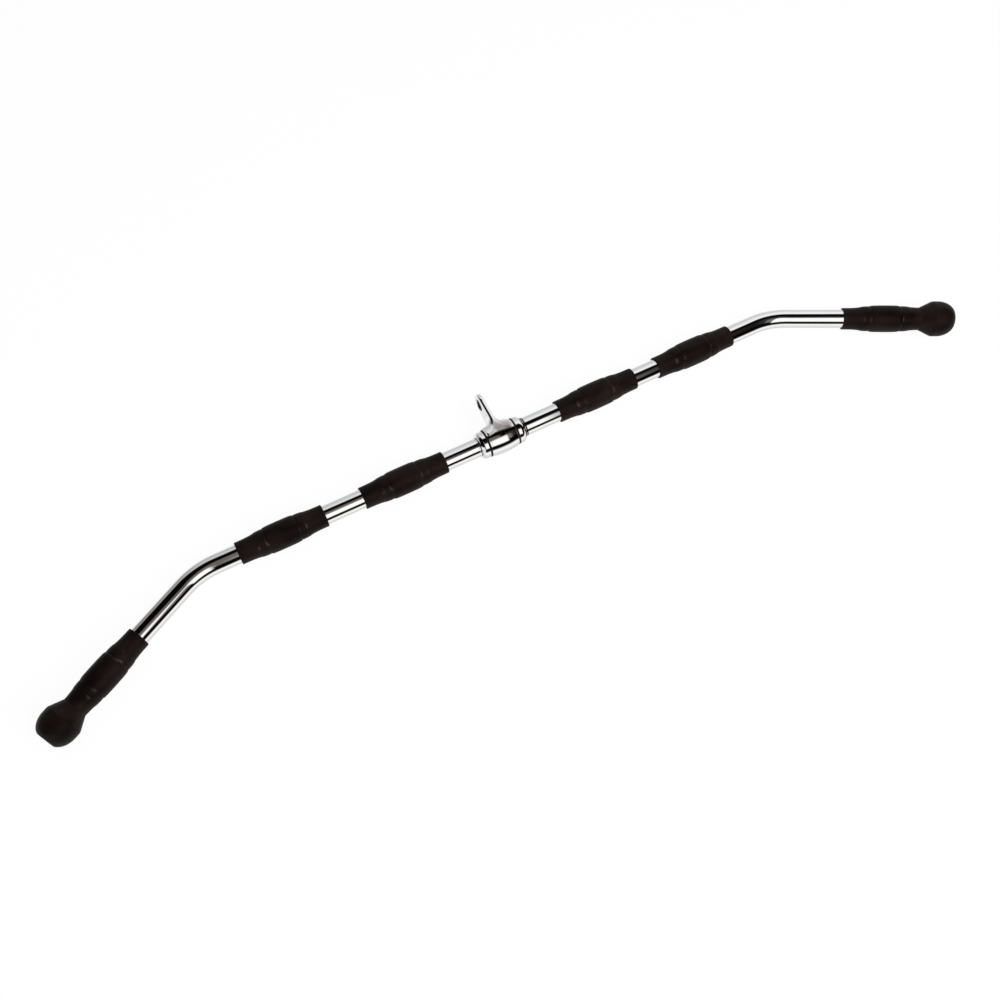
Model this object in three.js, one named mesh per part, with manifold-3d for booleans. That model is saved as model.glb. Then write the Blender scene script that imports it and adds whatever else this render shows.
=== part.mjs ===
// Lat pulldown bar: a bent chromed tube with rubber grips and a revolving centre hanger.
// Millimetres. X runs along the bar, Y to the side the lug points to, Z up from the surface it lies on.
import * as THREE from 'three';
import { mergeVertices } from 'three/addons/utils/BufferGeometryUtils.js';
import Module from 'manifold-3d';

const { degToRad } = THREE.MathUtils;
const wasm = await Module();
wasm.setup();

// Fits
const GAP = 0.3;
const MERGE = 0.0005;

// Tube: one central run and two ends bent back in the same plane
const TUBE_OD = 25.4;
const TUBE_WALL = 3;
const BEND_APEX = 424.6;
const BEND_ANGLE = degToRad(28);
const BEND_RADIUS = 100;

// Plug that closes each end of the tube
const PLUG_LENGTH = 18;
const PLUG_HEAD = 2;
const PLUG_RIM = 0.5;

// Rubber grips on the central run
const GRIP_LENGTH = 118;
const GRIP_WALL = 1.9;
const GRIP_SWELL = 3.5;
const GRIP_EDGE = 0.5;

// Bare tube from the hanger to the inner grip and on to the outer one, as shares of what is free
const LEFT_BARE_SHARES = [0.367, 0.407];
const RIGHT_BARE_SHARES = [0.402, 0.283];

// Swell of a grip from its end to its middle: share of the half length, share of the swell
const SWELL_SHARES = [
  [0.22, 0.02],
  [0.34, 0.14],
  [0.42, 0.3],
  [0.46, 0.5],
  [0.56, 0.64],
  [0.62, 0.62],
  [0.64, 0.56],
  [0.67, 0.82],
  [0.74, 0.95],
  [1, 1],
];

// End grips: the same swell, then a bulb that closes over the tube's end
const END_GRIP_START = 104.5;
const END_GRIP_WALL = 2;
const END_GRIP_SWELL = 3.7;
const NECK = 212;
const NECK_WALL = 2.6;
const BULB_WALL = 11.4;
const BULB_CONE = 18;
const BULB_BAND = 7;
const BULB_LENGTH = 48;
const BULB_FACE_OD = 22;
const BULB_FLOOR = 8.4;

// Rounding of the bulb: share of the way from the band to the end face, share of the drop left
const BULB_ROUND_SHARES = [
  [0, 1],
  [0.22, 0.97],
  [0.4, 0.91],
  [0.57, 0.81],
  [0.74, 0.62],
  [0.87, 0.4],
  [0.95, 0.2],
  [1, 0],
];

// Revolving sleeve
const SLEEVE_LENGTH = 40.4;
const SLEEVE_WALL = 4.2;
const SLEEVE_SWELL = 1.7;
const SLEEVE_EDGE = 0.7;
const SLEEVE_LAND = 1.2;

// Barrel line of the sleeve: share of the half length, share of the swell
const BARREL_SHARES = [
  [0, 1],
  [0.25, 0.95],
  [0.5, 0.78],
  [0.75, 0.46],
  [1, 0],
];

// Bushes in the sleeve
const BUSH_WALL = 1.7;
const BUSH_LENGTH = 14;

// Lug of the sleeve, its eye and how far it stands up from the surface
const LUG_REACH = 68;
const LUG_WIDTH = 30;
const LUG_ROOT_WIDTH = 36;
const LUG_THICKNESS = 7;
const LUG_EDGE = 1.6;
const LUG_FILLET = 14;
const LUG_SINK = 0.9;
const LUG_OFFSET = -1.2;
const LUG_RAISE = degToRad(10);
const EYE_DIAMETER = 16;
const EYE_CHAMFER = 0.6;

// Slices of the lug: shares of the straight run from the axis, and of the round tip's quarter turn
const LUG_RUN_SHARES = [0, 0.25, 0.31, 0.37, 0.4, 0.43, 0.47, 0.52, 0.58, 0.64, 1];
const LUG_TIP_SHARES = [0.16, 0.32, 0.48, 0.62, 0.74, 0.84, 0.92, 1];

// Thrust washers between sleeve and collars
const WASHER_THICKNESS = 1;
const WASHER_WIDTH = 5.2;

// Stop collars
const COLLAR_LENGTH = 10.2;
const COLLAR_WALL = 5.5;
const COLLAR_NOSE_WALL = 1.3;
const COLLAR_EDGE = 0.5;

// Dome of a collar: share of its length, share of the drop left
const DOME_SHARES = [
  [0.51, 1],
  [0.67, 0.9],
  [0.81, 0.73],
  [0.91, 0.52],
  [0.98, 0.27],
  [1, 0],
];

// Grub screw in each collar
const SCREW_OD = 5;
const SCREW_LENGTH = 3.6;
const SCREW_SOCKET = 2.5;
const SCREW_SOCKET_DEPTH = 1.8;
const SCREW_SHARE = 0.42;

// Retaining rings outside the collars, each in a groove of the tube
const RING_PROUD = 0.7;
const RING_THICKNESS = 1.4;
const RING_DEPTH = 1;
const RING_OFFSET = 1.2;
const RING_SLOT = 4;

// Facets round each kind of piece
const TUBE_FACETS = 32;
const BORE_FACETS = 16;
const GRIP_FACETS = 24;
const HUB_FACETS = 40;
const COLLAR_FACETS = 36;
const SMALL_FACETS = 24;
const BEND_STEPS = 8;
const CORNER_STEPS = 3;
const SIDE_STEPS = 4;

// Sizes that follow from the ones above
const TUBE_R = TUBE_OD / 2;
const BORE_R = TUBE_R - TUBE_WALL;
const FIT_R = TUBE_R + GAP;
const GRIP_END_R = FIT_R + GRIP_WALL;
const END_GRIP_END_R = FIT_R + END_GRIP_WALL;
const NECK_R = FIT_R + NECK_WALL;
const BULB_R = FIT_R + BULB_WALL;
const BULB_END = NECK + BULB_LENGTH;
const PLUG_START = BULB_END - BULB_FLOOR - GAP - PLUG_HEAD;
const TUBE_END = PLUG_START - GAP;
const SLEEVE_HALF = SLEEVE_LENGTH / 2;
const SEAT_R = FIT_R + BUSH_WALL + GAP;
const SLEEVE_END_R = SEAT_R + SLEEVE_WALL;
const SLEEVE_R = SLEEVE_END_R + SLEEVE_SWELL;
const WASHER_START = SLEEVE_HALF + GAP;
const COLLAR_START = WASHER_START + WASHER_THICKNESS + GAP;
const COLLAR_END = COLLAR_START + COLLAR_LENGTH;
const COLLAR_R = FIT_R + COLLAR_WALL;
const COLLAR_NOSE_R = FIT_R + COLLAR_NOSE_WALL;
const SCREW_PLACE = COLLAR_START + COLLAR_LENGTH * SCREW_SHARE;
const RING_START = COLLAR_END + RING_OFFSET;
const RING_END = RING_START + RING_THICKNESS;
const RING_R = TUBE_R + RING_PROUD;
const RUN_END = BEND_APEX - BEND_RADIUS * Math.tan(BEND_ANGLE / 2);
const BARE = RUN_END - RING_END - 2 * GRIP_LENGTH;
const EYE_PLACE = LUG_REACH - LUG_WIDTH / 2;

// Turn of the bar's plane that puts both bulbs and the sleeve on the surface
const BULB_MIDDLE = NECK + BULB_CONE + BULB_BAND / 2;
const LIE = -Math.asin((BULB_R - SLEEVE_R) / (BULB_MIDDLE * Math.sin(BEND_ANGLE)));

// Looks of the metals, the rubber and the plastic
const material = (color, roughness, metalness) =>
  new THREE.MeshStandardMaterial({ color, roughness, metalness });
const chrome = () => material(0xd9dbdd, 0.08, 1);
const rubber = () => material(0x17130f, 0.75, 0);
const nylon = () => material(0x24201e, 0.6, 0);
const bronze = () => material(0xa9824a, 0.4, 1);
const steel = () => material(0x3a3a3c, 0.45, 1);

// A closed solid from a three.js geometry
function solidFrom(geometry) {
  geometry.deleteAttribute('normal');
  geometry.deleteAttribute('uv');
  const merged = mergeVertices(geometry, MERGE);
  const index = merged.index.array;
  const faces = [];
  for (let i = 0; i < index.length; i += 3) {
    const [a, b, c] = [index[i], index[i + 1], index[i + 2]];
    if (a !== b && b !== c && c !== a) {
      faces.push(a, b, c);
    }
  }
  const mesh = new wasm.Mesh({
    numProp: 3,
    vertProperties: new Float32Array(merged.attributes.position.array),
    triVerts: new Uint32Array(faces),
  });
  return new wasm.Manifold(mesh);
}

// A named mesh from a solid
function piece(name, solid, look) {
  const mesh = solid.getMesh();
  const geometry = new THREE.BufferGeometry();
  geometry.setAttribute('position', new THREE.BufferAttribute(mesh.vertProperties, 3));
  geometry.setIndex(Array.from(mesh.triVerts));
  geometry.computeVertexNormals();
  const result = new THREE.Mesh(geometry, look);
  result.name = name;
  return result;
}

// A profile of [place along X, radius] turned about X
function turned(profile, facets) {
  const points = profile.map(([x, r]) => new THREE.Vector2(r, x));
  const open = profile[0][1] !== 0 || profile[profile.length - 1][1] !== 0;
  if (open) {
    points.push(points[0].clone());
  }
  if (THREE.ShapeUtils.area(points) < 0) {
    points.reverse();
  }
  const geometry = new THREE.LatheGeometry(points, facets);
  geometry.rotateZ(-Math.PI / 2);
  return solidFrom(geometry);
}

// A plain ring about X, from one place to another
function ring(start, end, inner, outer, facets) {
  const profile = [
    [start, inner],
    [start, outer],
    [end, outer],
    [end, inner],
  ];
  return turned(profile, facets);
}

// A plain round rod about X
function rod(start, end, radius, facets) {
  const profile = [
    [start, 0],
    [start, radius],
    [end, radius],
    [end, 0],
  ];
  return turned(profile, facets);
}

// A polygon of points on a circle
function circle(radius, facets) {
  const points = [];
  for (let i = 0; i < facets; i += 1) {
    const turn = (2 * Math.PI * i) / facets;
    points.push(new THREE.Vector2(radius * Math.cos(turn), radius * Math.sin(turn)));
  }
  return points;
}

// The tube's centre line as stations: straight runs need only their ends
class TubeLine extends THREE.Curve {
  constructor() {
    super();
    const half = [];
    const tangent = BEND_RADIUS * Math.tan(BEND_ANGLE / 2);
    for (let i = 0; i <= BEND_STEPS; i += 1) {
      const turn = (BEND_ANGLE * i) / BEND_STEPS;
      half.push([
        new THREE.Vector3(
          BEND_APEX - tangent + BEND_RADIUS * Math.sin(turn),
          -BEND_RADIUS * (1 - Math.cos(turn)),
          0,
        ),
        new THREE.Vector3(Math.cos(turn), -Math.sin(turn), 0),
      ]);
    }
    half.push([endPoint(TUBE_END), endWay()]);
    const mirrored = half.map(([place, way]) => [
      new THREE.Vector3(-place.x, place.y, 0),
      new THREE.Vector3(way.x, -way.y, 0),
    ]);
    this.stations = [...mirrored.reverse(), ...half];
  }

  getPointAt(u, target = new THREE.Vector3()) {
    return target.copy(this.stations[Math.round(u * (this.stations.length - 1))][0]);
  }

  getTangentAt(u, target = new THREE.Vector3()) {
    return target.copy(this.stations[Math.round(u * (this.stations.length - 1))][1]);
  }
}

// Direction of the right end, and a point on it by its distance from the bend's apex
function endWay() {
  return new THREE.Vector3(Math.cos(BEND_ANGLE), -Math.sin(BEND_ANGLE), 0);
}

function endPoint(distance) {
  return endWay().multiplyScalar(distance).add(new THREE.Vector3(BEND_APEX, 0, 0));
}

// Tube with the two grooves of its retaining rings
function tubeSolid() {
  const line = new TubeLine();
  const section = new THREE.Shape(circle(TUBE_R, TUBE_FACETS));
  section.holes.push(new THREE.Path(circle(BORE_R, BORE_FACETS)));
  const swept = new THREE.ExtrudeGeometry(section, {
    steps: line.stations.length - 1,
    bevelEnabled: false,
    extrudePath: line,
  });
  let solid = solidFrom(swept);
  for (const side of [-1, 1]) {
    const start = RING_START - GAP;
    const end = RING_START + RING_THICKNESS + GAP;
    const groove = ring(start, end, TUBE_R - RING_DEPTH, TUBE_R + GAP, TUBE_FACETS);
    solid = solid.subtract(side > 0 ? groove : groove.mirror([1, 0, 0]));
  }
  return solid;
}

// Outline of a grip from its end to its middle, measured from the end
function swollen(endRadius, middleRadius) {
  const points = [
    [0, endRadius - GRIP_EDGE],
    [GRIP_EDGE, endRadius],
  ];
  for (const [along, share] of SWELL_SHARES) {
    points.push([(along * GRIP_LENGTH) / 2, endRadius + (middleRadius - endRadius) * share]);
  }
  return points;
}

// Grip of the central run, about its own middle
function gripSolid() {
  const outline = swollen(GRIP_END_R, GRIP_END_R + GRIP_SWELL);
  const half = outline.map(([x, r]) => [x - GRIP_LENGTH / 2, r]);
  const other = half.slice(0, -1).map(([x, r]) => [-x, r]);
  const profile = [
    [-GRIP_LENGTH / 2, FIT_R],
    ...half,
    ...other.reverse(),
    [GRIP_LENGTH / 2, FIT_R],
  ];
  return turned(profile, GRIP_FACETS);
}

// End grip with its bulb, by the distance from the bend's apex
function endGripSolid() {
  const first = swollen(END_GRIP_END_R, END_GRIP_END_R + END_GRIP_SWELL);
  const last = swollen(NECK_R, END_GRIP_END_R + END_GRIP_SWELL);
  const grown = first.map(([x, r]) => [END_GRIP_START + x, r]);
  const neckPlace = NECK - END_GRIP_START;
  for (const [x, r] of last.slice(0, -1).reverse()) {
    if (GRIP_LENGTH - x < neckPlace) {
      grown.push([END_GRIP_START + GRIP_LENGTH - x, r]);
    }
  }
  grown.push([NECK, NECK_R]);
  const band = NECK + BULB_CONE + BULB_BAND;
  grown.push([NECK + BULB_CONE, BULB_R]);
  const faceR = BULB_FACE_OD / 2;
  for (const [along, share] of BULB_ROUND_SHARES) {
    grown.push([band + (BULB_END - band) * along, faceR + (BULB_R - faceR) * share]);
  }
  const floor = BULB_END - BULB_FLOOR;
  const profile = [
    [floor, 0],
    [floor, FIT_R],
    [END_GRIP_START, FIT_R],
    ...grown,
    [BULB_END, 0],
  ];
  return turned(profile, GRIP_FACETS);
}

// Plug of the tube's end, by the distance from the bend's apex
function plugSolid() {
  const tip = PLUG_START - PLUG_LENGTH;
  const profile = [
    [tip, 0],
    [tip, BORE_R - GAP - PLUG_RIM],
    [tip + PLUG_RIM, BORE_R - GAP],
    [PLUG_START, BORE_R - GAP],
    [PLUG_START, TUBE_R - PLUG_RIM],
    [PLUG_START + PLUG_HEAD, TUBE_R - PLUG_RIM],
    [PLUG_START + PLUG_HEAD, 0],
  ];
  return turned(profile, SMALL_FACETS);
}

// Half thickness of the lug by the distance from the sleeve's axis
function lugHalf(distance) {
  const rise = SLEEVE_R - LUG_SINK + LUG_FILLET - distance;
  if (rise <= 0) {
    return LUG_THICKNESS / 2;
  }
  const reach = Math.min(rise, LUG_FILLET);
  return LUG_THICKNESS / 2 + LUG_FILLET - Math.sqrt(LUG_FILLET ** 2 - reach ** 2);
}

// Places round one slice of the lug: its side, its face, the way out at its edge and how far across
function lugRing() {
  const places = [];
  const corners = [
    [1, 1],
    [-1, 1],
    [-1, -1],
    [1, -1],
  ];
  corners.forEach(([side, face], n) => {
    for (let i = 0; i <= CORNER_STEPS; i += 1) {
      const turn = ((n + i / CORNER_STEPS) * Math.PI) / 2;
      places.push({ side, face, out: [Math.cos(turn), Math.sin(turn)], run: 0 });
    }
    if (side === face) {
      for (let i = 1; i < SIDE_STEPS; i += 1) {
        places.push({ side, face, out: [0, face], run: i / SIDE_STEPS });
      }
    }
  });
  return places;
}

// Lug lofted through its slices, out along Y, the slices' short way along X
function lugSolid() {
  const slices = LUG_RUN_SHARES.map((share) => [
    EYE_PLACE * share,
    (LUG_ROOT_WIDTH + (LUG_WIDTH - LUG_ROOT_WIDTH) * share) / 2,
  ]);
  for (const share of LUG_TIP_SHARES) {
    const turn = (share * Math.PI) / 2;
    slices.push([
      EYE_PLACE + (LUG_WIDTH / 2) * Math.sin(turn),
      Math.max((LUG_WIDTH / 2) * Math.cos(turn), LUG_EDGE),
    ]);
  }
  const places = lugRing();
  const count = places.length;
  const geometry = new THREE.CylinderGeometry(1, 1, 1, count, slices.length - 1);
  const position = geometry.attributes.position;
  for (let i = 0; i < position.count; i += 1) {
    const [x, y, z] = [position.getX(i), position.getY(i), position.getZ(i)];
    const [along, half] = slices[Math.round((y + 0.5) * (slices.length - 1))];
    if (Math.hypot(x, z) < 0.5) {
      position.setXYZ(i, 0, along, 0);
      continue;
    }
    const turn = Math.atan2(x, z) / (2 * Math.PI);
    const { side, face, out, run } = places[Math.round((turn + 1) * count) % count];
    const edge = Math.min(LUG_EDGE, half);
    const across = side * (half - edge) * (1 - 2 * run) + edge * out[0];
    const toTip = Math.max(LUG_EDGE - (LUG_REACH - along), 0);
    const tipDrop = LUG_EDGE - Math.sqrt(LUG_EDGE ** 2 - toTip ** 2);
    const thick = lugHalf(Math.hypot(along, across)) - tipDrop;
    position.setXYZ(i, face * (thick - edge) + edge * out[1], along, across);
  }
  return solidFrom(geometry);
}

// Sleeve with its lug, about the bar's axis, the lug out along Y
function sleeveSolid() {
  const barrel = BARREL_SHARES.map(([along, share]) => [
    along * (SLEEVE_HALF - SLEEVE_EDGE),
    SLEEVE_END_R + SLEEVE_SWELL * share,
  ]);
  barrel.push([SLEEVE_HALF, SLEEVE_END_R - SLEEVE_EDGE]);
  const other = barrel.slice(1).map(([x, r]) => [-x, r]);
  const outside = [[-SLEEVE_HALF, 0], ...other.reverse(), ...barrel, [SLEEVE_HALF, 0]];
  const seat = SLEEVE_HALF - BUSH_LENGTH - GAP;
  const past = SLEEVE_HALF + GAP;
  const landR = FIT_R + SLEEVE_LAND;
  const bore = [
    [-past, 0],
    [-past, SEAT_R],
    [-seat, SEAT_R],
    [-seat, landR],
    [seat, landR],
    [seat, SEAT_R],
    [past, SEAT_R],
    [past, 0],
  ];
  const eyeR = EYE_DIAMETER / 2;
  const face = LUG_THICKNESS / 2;
  const eye = [
    [-face - EYE_CHAMFER, 0],
    [-face - EYE_CHAMFER, eyeR + 2 * EYE_CHAMFER],
    [-face + EYE_CHAMFER, eyeR],
    [face - EYE_CHAMFER, eyeR],
    [face + EYE_CHAMFER, eyeR + 2 * EYE_CHAMFER],
    [face + EYE_CHAMFER, 0],
  ];
  return turned(outside, HUB_FACETS)
    .add(lugSolid().translate([LUG_OFFSET, 0, 0]))
    .subtract(turned(bore, HUB_FACETS))
    .subtract(turned(eye, SMALL_FACETS).translate([LUG_OFFSET, EYE_PLACE, 0]));
}

// Bush in the right half of the sleeve
function bushSolid() {
  const start = SLEEVE_HALF - BUSH_LENGTH;
  return ring(start, SLEEVE_HALF, FIT_R, FIT_R + BUSH_WALL, COLLAR_FACETS);
}

// Right stop collar with the hole of its grub screw, which faces down
function collarSolid() {
  const profile = [
    [COLLAR_START, FIT_R],
    [COLLAR_START, COLLAR_R - COLLAR_EDGE],
    [COLLAR_START + COLLAR_EDGE, COLLAR_R],
  ];
  for (const [along, share] of DOME_SHARES) {
    const radius = COLLAR_NOSE_R + (COLLAR_R - COLLAR_NOSE_R) * share;
    profile.push([COLLAR_START + COLLAR_LENGTH * along, radius]);
  }
  profile.push([COLLAR_END, FIT_R]);
  const hole = rod(TUBE_R, COLLAR_R + GAP, SCREW_OD / 2 + GAP, SMALL_FACETS)
    .rotate([0, 90, 0])
    .translate([SCREW_PLACE, 0, 0]);
  return turned(profile, COLLAR_FACETS).subtract(hole);
}

// Right grub screw with its hex socket
function screwSolid() {
  const top = FIT_R + SCREW_LENGTH;
  const socket = rod(top - SCREW_SOCKET_DEPTH, top + GAP, SCREW_SOCKET / Math.sqrt(3), 6);
  return rod(FIT_R, top, SCREW_OD / 2, SMALL_FACETS)
    .subtract(socket)
    .rotate([0, 90, 0])
    .translate([SCREW_PLACE, 0, 0]);
}

// Right retaining ring, open on its underside
function retainingSolid() {
  const whole = ring(RING_START, RING_END, TUBE_R - RING_DEPTH + GAP, RING_R, COLLAR_FACETS);
  const slot = solidFrom(new THREE.BoxGeometry(RING_THICKNESS * 3, RING_SLOT, RING_R * 2));
  return whole.subtract(slot.translate([RING_START, 0, -RING_R]));
}

// Thrust washer on the right
function washerSolid() {
  const end = WASHER_START + WASHER_THICKNESS;
  return ring(WASHER_START, end, FIT_R, FIT_R + WASHER_WIDTH, COLLAR_FACETS);
}

// The same solid on both sides of the bar's middle
function pair(name, solid, look) {
  return [
    piece(`${name}_left`, solid.mirror([1, 0, 0]), look()),
    piece(`${name}_right`, solid, look()),
  ];
}

// The two grips of one side, by what is bare before each
function gripPair(side, way, [toInner, toOuter]) {
  const inner = RING_END + BARE * toInner + GRIP_LENGTH / 2;
  const outer = inner + BARE * toOuter + GRIP_LENGTH;
  return [
    ['inner', inner],
    ['outer', outer],
  ].map(([name, place]) => {
    const grip = piece(`grip_${name}_${side}`, gripSolid(), rubber());
    grip.position.x = way * place;
    return grip;
  });
}

// A pair that lies along the bent ends
function endPair(name, solid, look) {
  const turnedEnd = solid.rotate([0, 0, THREE.MathUtils.radToDeg(-BEND_ANGLE)]);
  return pair(name, turnedEnd.translate([BEND_APEX, 0, 0]), look);
}

// The whole bar, still about its own axis
function build() {
  const bar = new THREE.Group();
  bar.add(piece('bar_tube', tubeSolid(), chrome()));
  bar.add(...gripPair('left', -1, LEFT_BARE_SHARES));
  bar.add(...gripPair('right', 1, RIGHT_BARE_SHARES));
  bar.add(...endPair('end_grip', endGripSolid(), rubber));
  bar.add(...endPair('end_plug', plugSolid(), nylon));
  bar.add(...pair('thrust_washer', washerSolid(), nylon));
  bar.add(...pair('stop_collar', collarSolid(), chrome));
  bar.add(...pair('collar_screw', screwSolid(), steel));
  bar.add(...pair('retaining_ring', retainingSolid(), chrome));
  bar.rotation.x = LIE;

  const hanger = new THREE.Group();
  hanger.add(piece('hanger_sleeve', sleeveSolid(), chrome()));
  hanger.add(...pair('sleeve_bush', bushSolid(), bronze));
  hanger.rotation.x = LUG_RAISE;

  const whole = new THREE.Group();
  whole.name = 'lat_pulldown_bar';
  whole.add(bar, hanger);
  const box = new THREE.Box3().setFromObject(whole, true);
  const middle = box.getCenter(new THREE.Vector3());
  bar.position.set(-middle.x, -middle.y, -box.min.z);
  hanger.position.copy(bar.position);
  return whole;
}

export default build();
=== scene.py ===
# %% [markdown]
# # A lat pulldown bar, from its solids to its looks
#
# The real object is a bent steel tube, chromed all over. Six black rubber grips are pushed onto
# it, and on its middle a chromed sleeve turns between two collars. The sleeve carries a lug with
# an eye, and the cable machine's clip hooks into that eye.
#
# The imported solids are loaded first. They fix every size and place, so this script only makes
# smoother pieces over them and gives each surface its finish.

# %% Load the solids
import math

import bmesh
import bpy
from mathutils import Matrix, Vector


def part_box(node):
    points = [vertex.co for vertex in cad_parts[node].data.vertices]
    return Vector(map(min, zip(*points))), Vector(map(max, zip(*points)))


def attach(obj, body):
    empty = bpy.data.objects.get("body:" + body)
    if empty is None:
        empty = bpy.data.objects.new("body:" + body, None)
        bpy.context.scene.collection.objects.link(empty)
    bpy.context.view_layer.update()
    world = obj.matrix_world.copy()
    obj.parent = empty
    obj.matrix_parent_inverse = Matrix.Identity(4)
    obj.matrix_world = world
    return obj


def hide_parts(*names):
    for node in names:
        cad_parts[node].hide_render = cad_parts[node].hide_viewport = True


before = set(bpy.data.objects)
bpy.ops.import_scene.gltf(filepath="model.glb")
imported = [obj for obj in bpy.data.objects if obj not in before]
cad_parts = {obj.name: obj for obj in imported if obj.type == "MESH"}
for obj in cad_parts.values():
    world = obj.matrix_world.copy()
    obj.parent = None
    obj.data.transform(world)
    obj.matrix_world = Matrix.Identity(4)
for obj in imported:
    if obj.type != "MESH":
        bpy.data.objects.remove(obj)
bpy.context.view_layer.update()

# %% [markdown]
# ## Where things are
#
# All the turned pieces share one axis, which runs through the hub. The two stop collars are round
# and stand evenly about the middle, so the middle of their boxes is a point on that axis. The bar
# lies on a surface: its bulbs are thicker than its sleeve, so the whole bar is tipped a little
# about its own axis until both touch. The hanger is tipped more, to hold its lug up.
#
# Sizes of the bar are in millimetres, and those that end in R are radii. The places of an end
# grip are measured from the bend's corner, where the tube's two straight lines would meet.

# %% The axis and the two tips
MM = 0.001
GAP = 0.3
TUBE_R = 12.7
FIT_R = TUBE_R + GAP
BEND_ANGLE = math.radians(28)

NECK = 212
BULB_START = NECK + 18
BAND_END = BULB_START + 7
BULB_MIDDLE = (BULB_START + BAND_END) / 2
BULB_R = FIT_R + 11.4

SEAT_R = FIT_R + 1.7 + GAP
SLEEVE_END_R = SEAT_R + 4.2
BARREL_RISE = 1.7
SLEEVE_R = SLEEVE_END_R + BARREL_RISE

collar_low, collar_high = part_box("stop_collar_left")
other_low, other_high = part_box("stop_collar_right")
HUB = (collar_low + collar_high + other_low + other_high) / 4
LIE = -math.asin((BULB_R - SLEEVE_R) / (BULB_MIDDLE * math.sin(BEND_ANGLE)))
LUG_RAISE = math.radians(10)

BAR = Matrix.Translation(HUB) @ Matrix.Rotation(LIE, 4, "X")
HANGER = Matrix.Translation(HUB) @ Matrix.Rotation(LUG_RAISE, 4, "X")
print("hub axis at", [round(v / MM, 2) for v in HUB], "mm, bar tipped", round(math.degrees(LIE), 2))

# %% [markdown]
# ## The camera
#
# The photograph looks down steeply from the front left, with a fairly wide lens: the near grip at
# the left is clearly larger than the far one. The camera was found by laying the outline of the
# solids over the photograph until the two agreed to about half a pixel.

# %% Camera
VIEW_AZIMUTH = math.radians(-27.27)
VIEW_ELEVATION = math.radians(62.76)
SENSOR_WIDTH, FOCAL_LENGTH = 36, 38.94
CAMERA_FROM_HUB = Vector((-335.8, -651.4, 1241.7))


def placed(name, data):
    """A new object in the scene, from a camera, a lamp or a mesh."""
    made = bpy.data.objects.new(name, data)
    bpy.context.scene.collection.objects.link(made)
    return made


lens = bpy.data.cameras.new("camera")
lens.sensor_width, lens.lens = SENSOR_WIDTH, FOCAL_LENGTH
lens.clip_start, lens.clip_end = 0.05, 50
camera = placed("camera", lens)
camera.location = HUB + CAMERA_FROM_HUB * MM
camera.rotation_euler = (math.pi / 2 - VIEW_ELEVATION, 0, VIEW_AZIMUTH)
bpy.context.scene.camera = camera
bpy.context.scene.view_settings.view_transform = "Standard"
print("camera at", [round(v, 3) for v in camera.location])

# %% [markdown]
# ## Writing node trees as sums
#
# Node trees, for shaders and for geometry alike, are much easier to read as formulas. `Value`
# stands for one output of a node, and adding or multiplying two of them adds the Math node that
# does it. `Tree` makes every other node through one method: the type, its settings, and what
# goes into its sockets.


# %% Values and trees
class Value:
    """One output socket of a node, so that maths on it reads like maths on a number."""

    def __init__(self, tree, socket):
        self.tree, self.socket = tree, socket

    def other(self, key):
        return Value(self.tree, named(self.socket.node.outputs, key))

    def __add__(self, term):
        return self.tree.math("ADD", self, term)

    def __radd__(self, term):
        return self.tree.math("ADD", term, self)

    def __sub__(self, term):
        return self.tree.math("SUBTRACT", self, term)

    def __rsub__(self, term):
        return self.tree.math("SUBTRACT", term, self)

    def __mul__(self, term):
        return self.tree.math("MULTIPLY", self, term)

    def __rmul__(self, term):
        return self.tree.math("MULTIPLY", term, self)

    def __truediv__(self, term):
        return self.tree.math("DIVIDE", self, term)

    def __pow__(self, term):
        return self.tree.math("POWER", self, term)


def named(sockets, key):
    """The socket with that number, or the one in use with that name."""
    if isinstance(key, int):
        return sockets[key]
    return next(s for s in sockets if s.name == key and s.enabled)


class Tree:
    """A node tree of either kind, with one method for every node."""

    def __init__(self, nodes):
        self.nodes = nodes

    def node(self, kind, settings=None, sockets=None, out=0):
        made = self.nodes.nodes.new(kind)
        for name, setting in (settings or {}).items():
            if name == "stops":
                ramp = made.color_ramp
                while len(ramp.elements) < len(setting):
                    ramp.elements.new(1.0)
                for element, (place, colour) in zip(ramp.elements, setting):
                    element.position, element.color = place, (*colour, 1.0)
            else:
                setattr(made, name, setting)
        for key, value in (sockets or {}).items():
            self.feed(named(made.inputs, key), value)
        return Value(self, named(made.outputs, out)) if made.outputs else made

    def feed(self, socket, value):
        if isinstance(value, Value):
            self.nodes.links.new(value.socket, socket)
        else:
            socket.default_value = value

    def math(self, operation, *terms):
        return self.node("ShaderNodeMath", {"operation": operation}, dict(enumerate(terms)))

    def limited(self, value, low=0.0, high=1.0):
        return self.math("MINIMUM", self.math("MAXIMUM", value, low), high)

    def span(self, value, start, end):
        """0 before start and 1 after end, with a soft run between them."""
        settings = {"interpolation_type": "SMOOTHSTEP"}
        sockets = {"Value": value, "From Min": start, "From Max": end}
        return self.node("ShaderNodeMapRange", settings, sockets)

    def between(self, value, rise, fall):
        """0, then 1, then 0 again; the rise and the fall each have a start and an end."""
        return self.span(value, *rise) * (1 - self.span(value, *fall))

    def near(self, value, place, inner, outer):
        """1 within the inner distance of a place and 0 past the outer one."""
        return 1 - self.span(self.math("ABSOLUTE", value - place), inner, outer)

    def mix(self, share, first, second, blend="MIX"):
        """Two colours mixed."""
        settings = {"data_type": "RGBA", "blend_type": blend}
        return self.node("ShaderNodeMix", settings, {0: share, 6: first, 7: second}, out=2)


def blank(owner):
    """The empty shader tree of a new material or world."""
    owner.use_nodes = True
    owner.node_tree.nodes.clear()
    return Tree(owner.node_tree)


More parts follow.
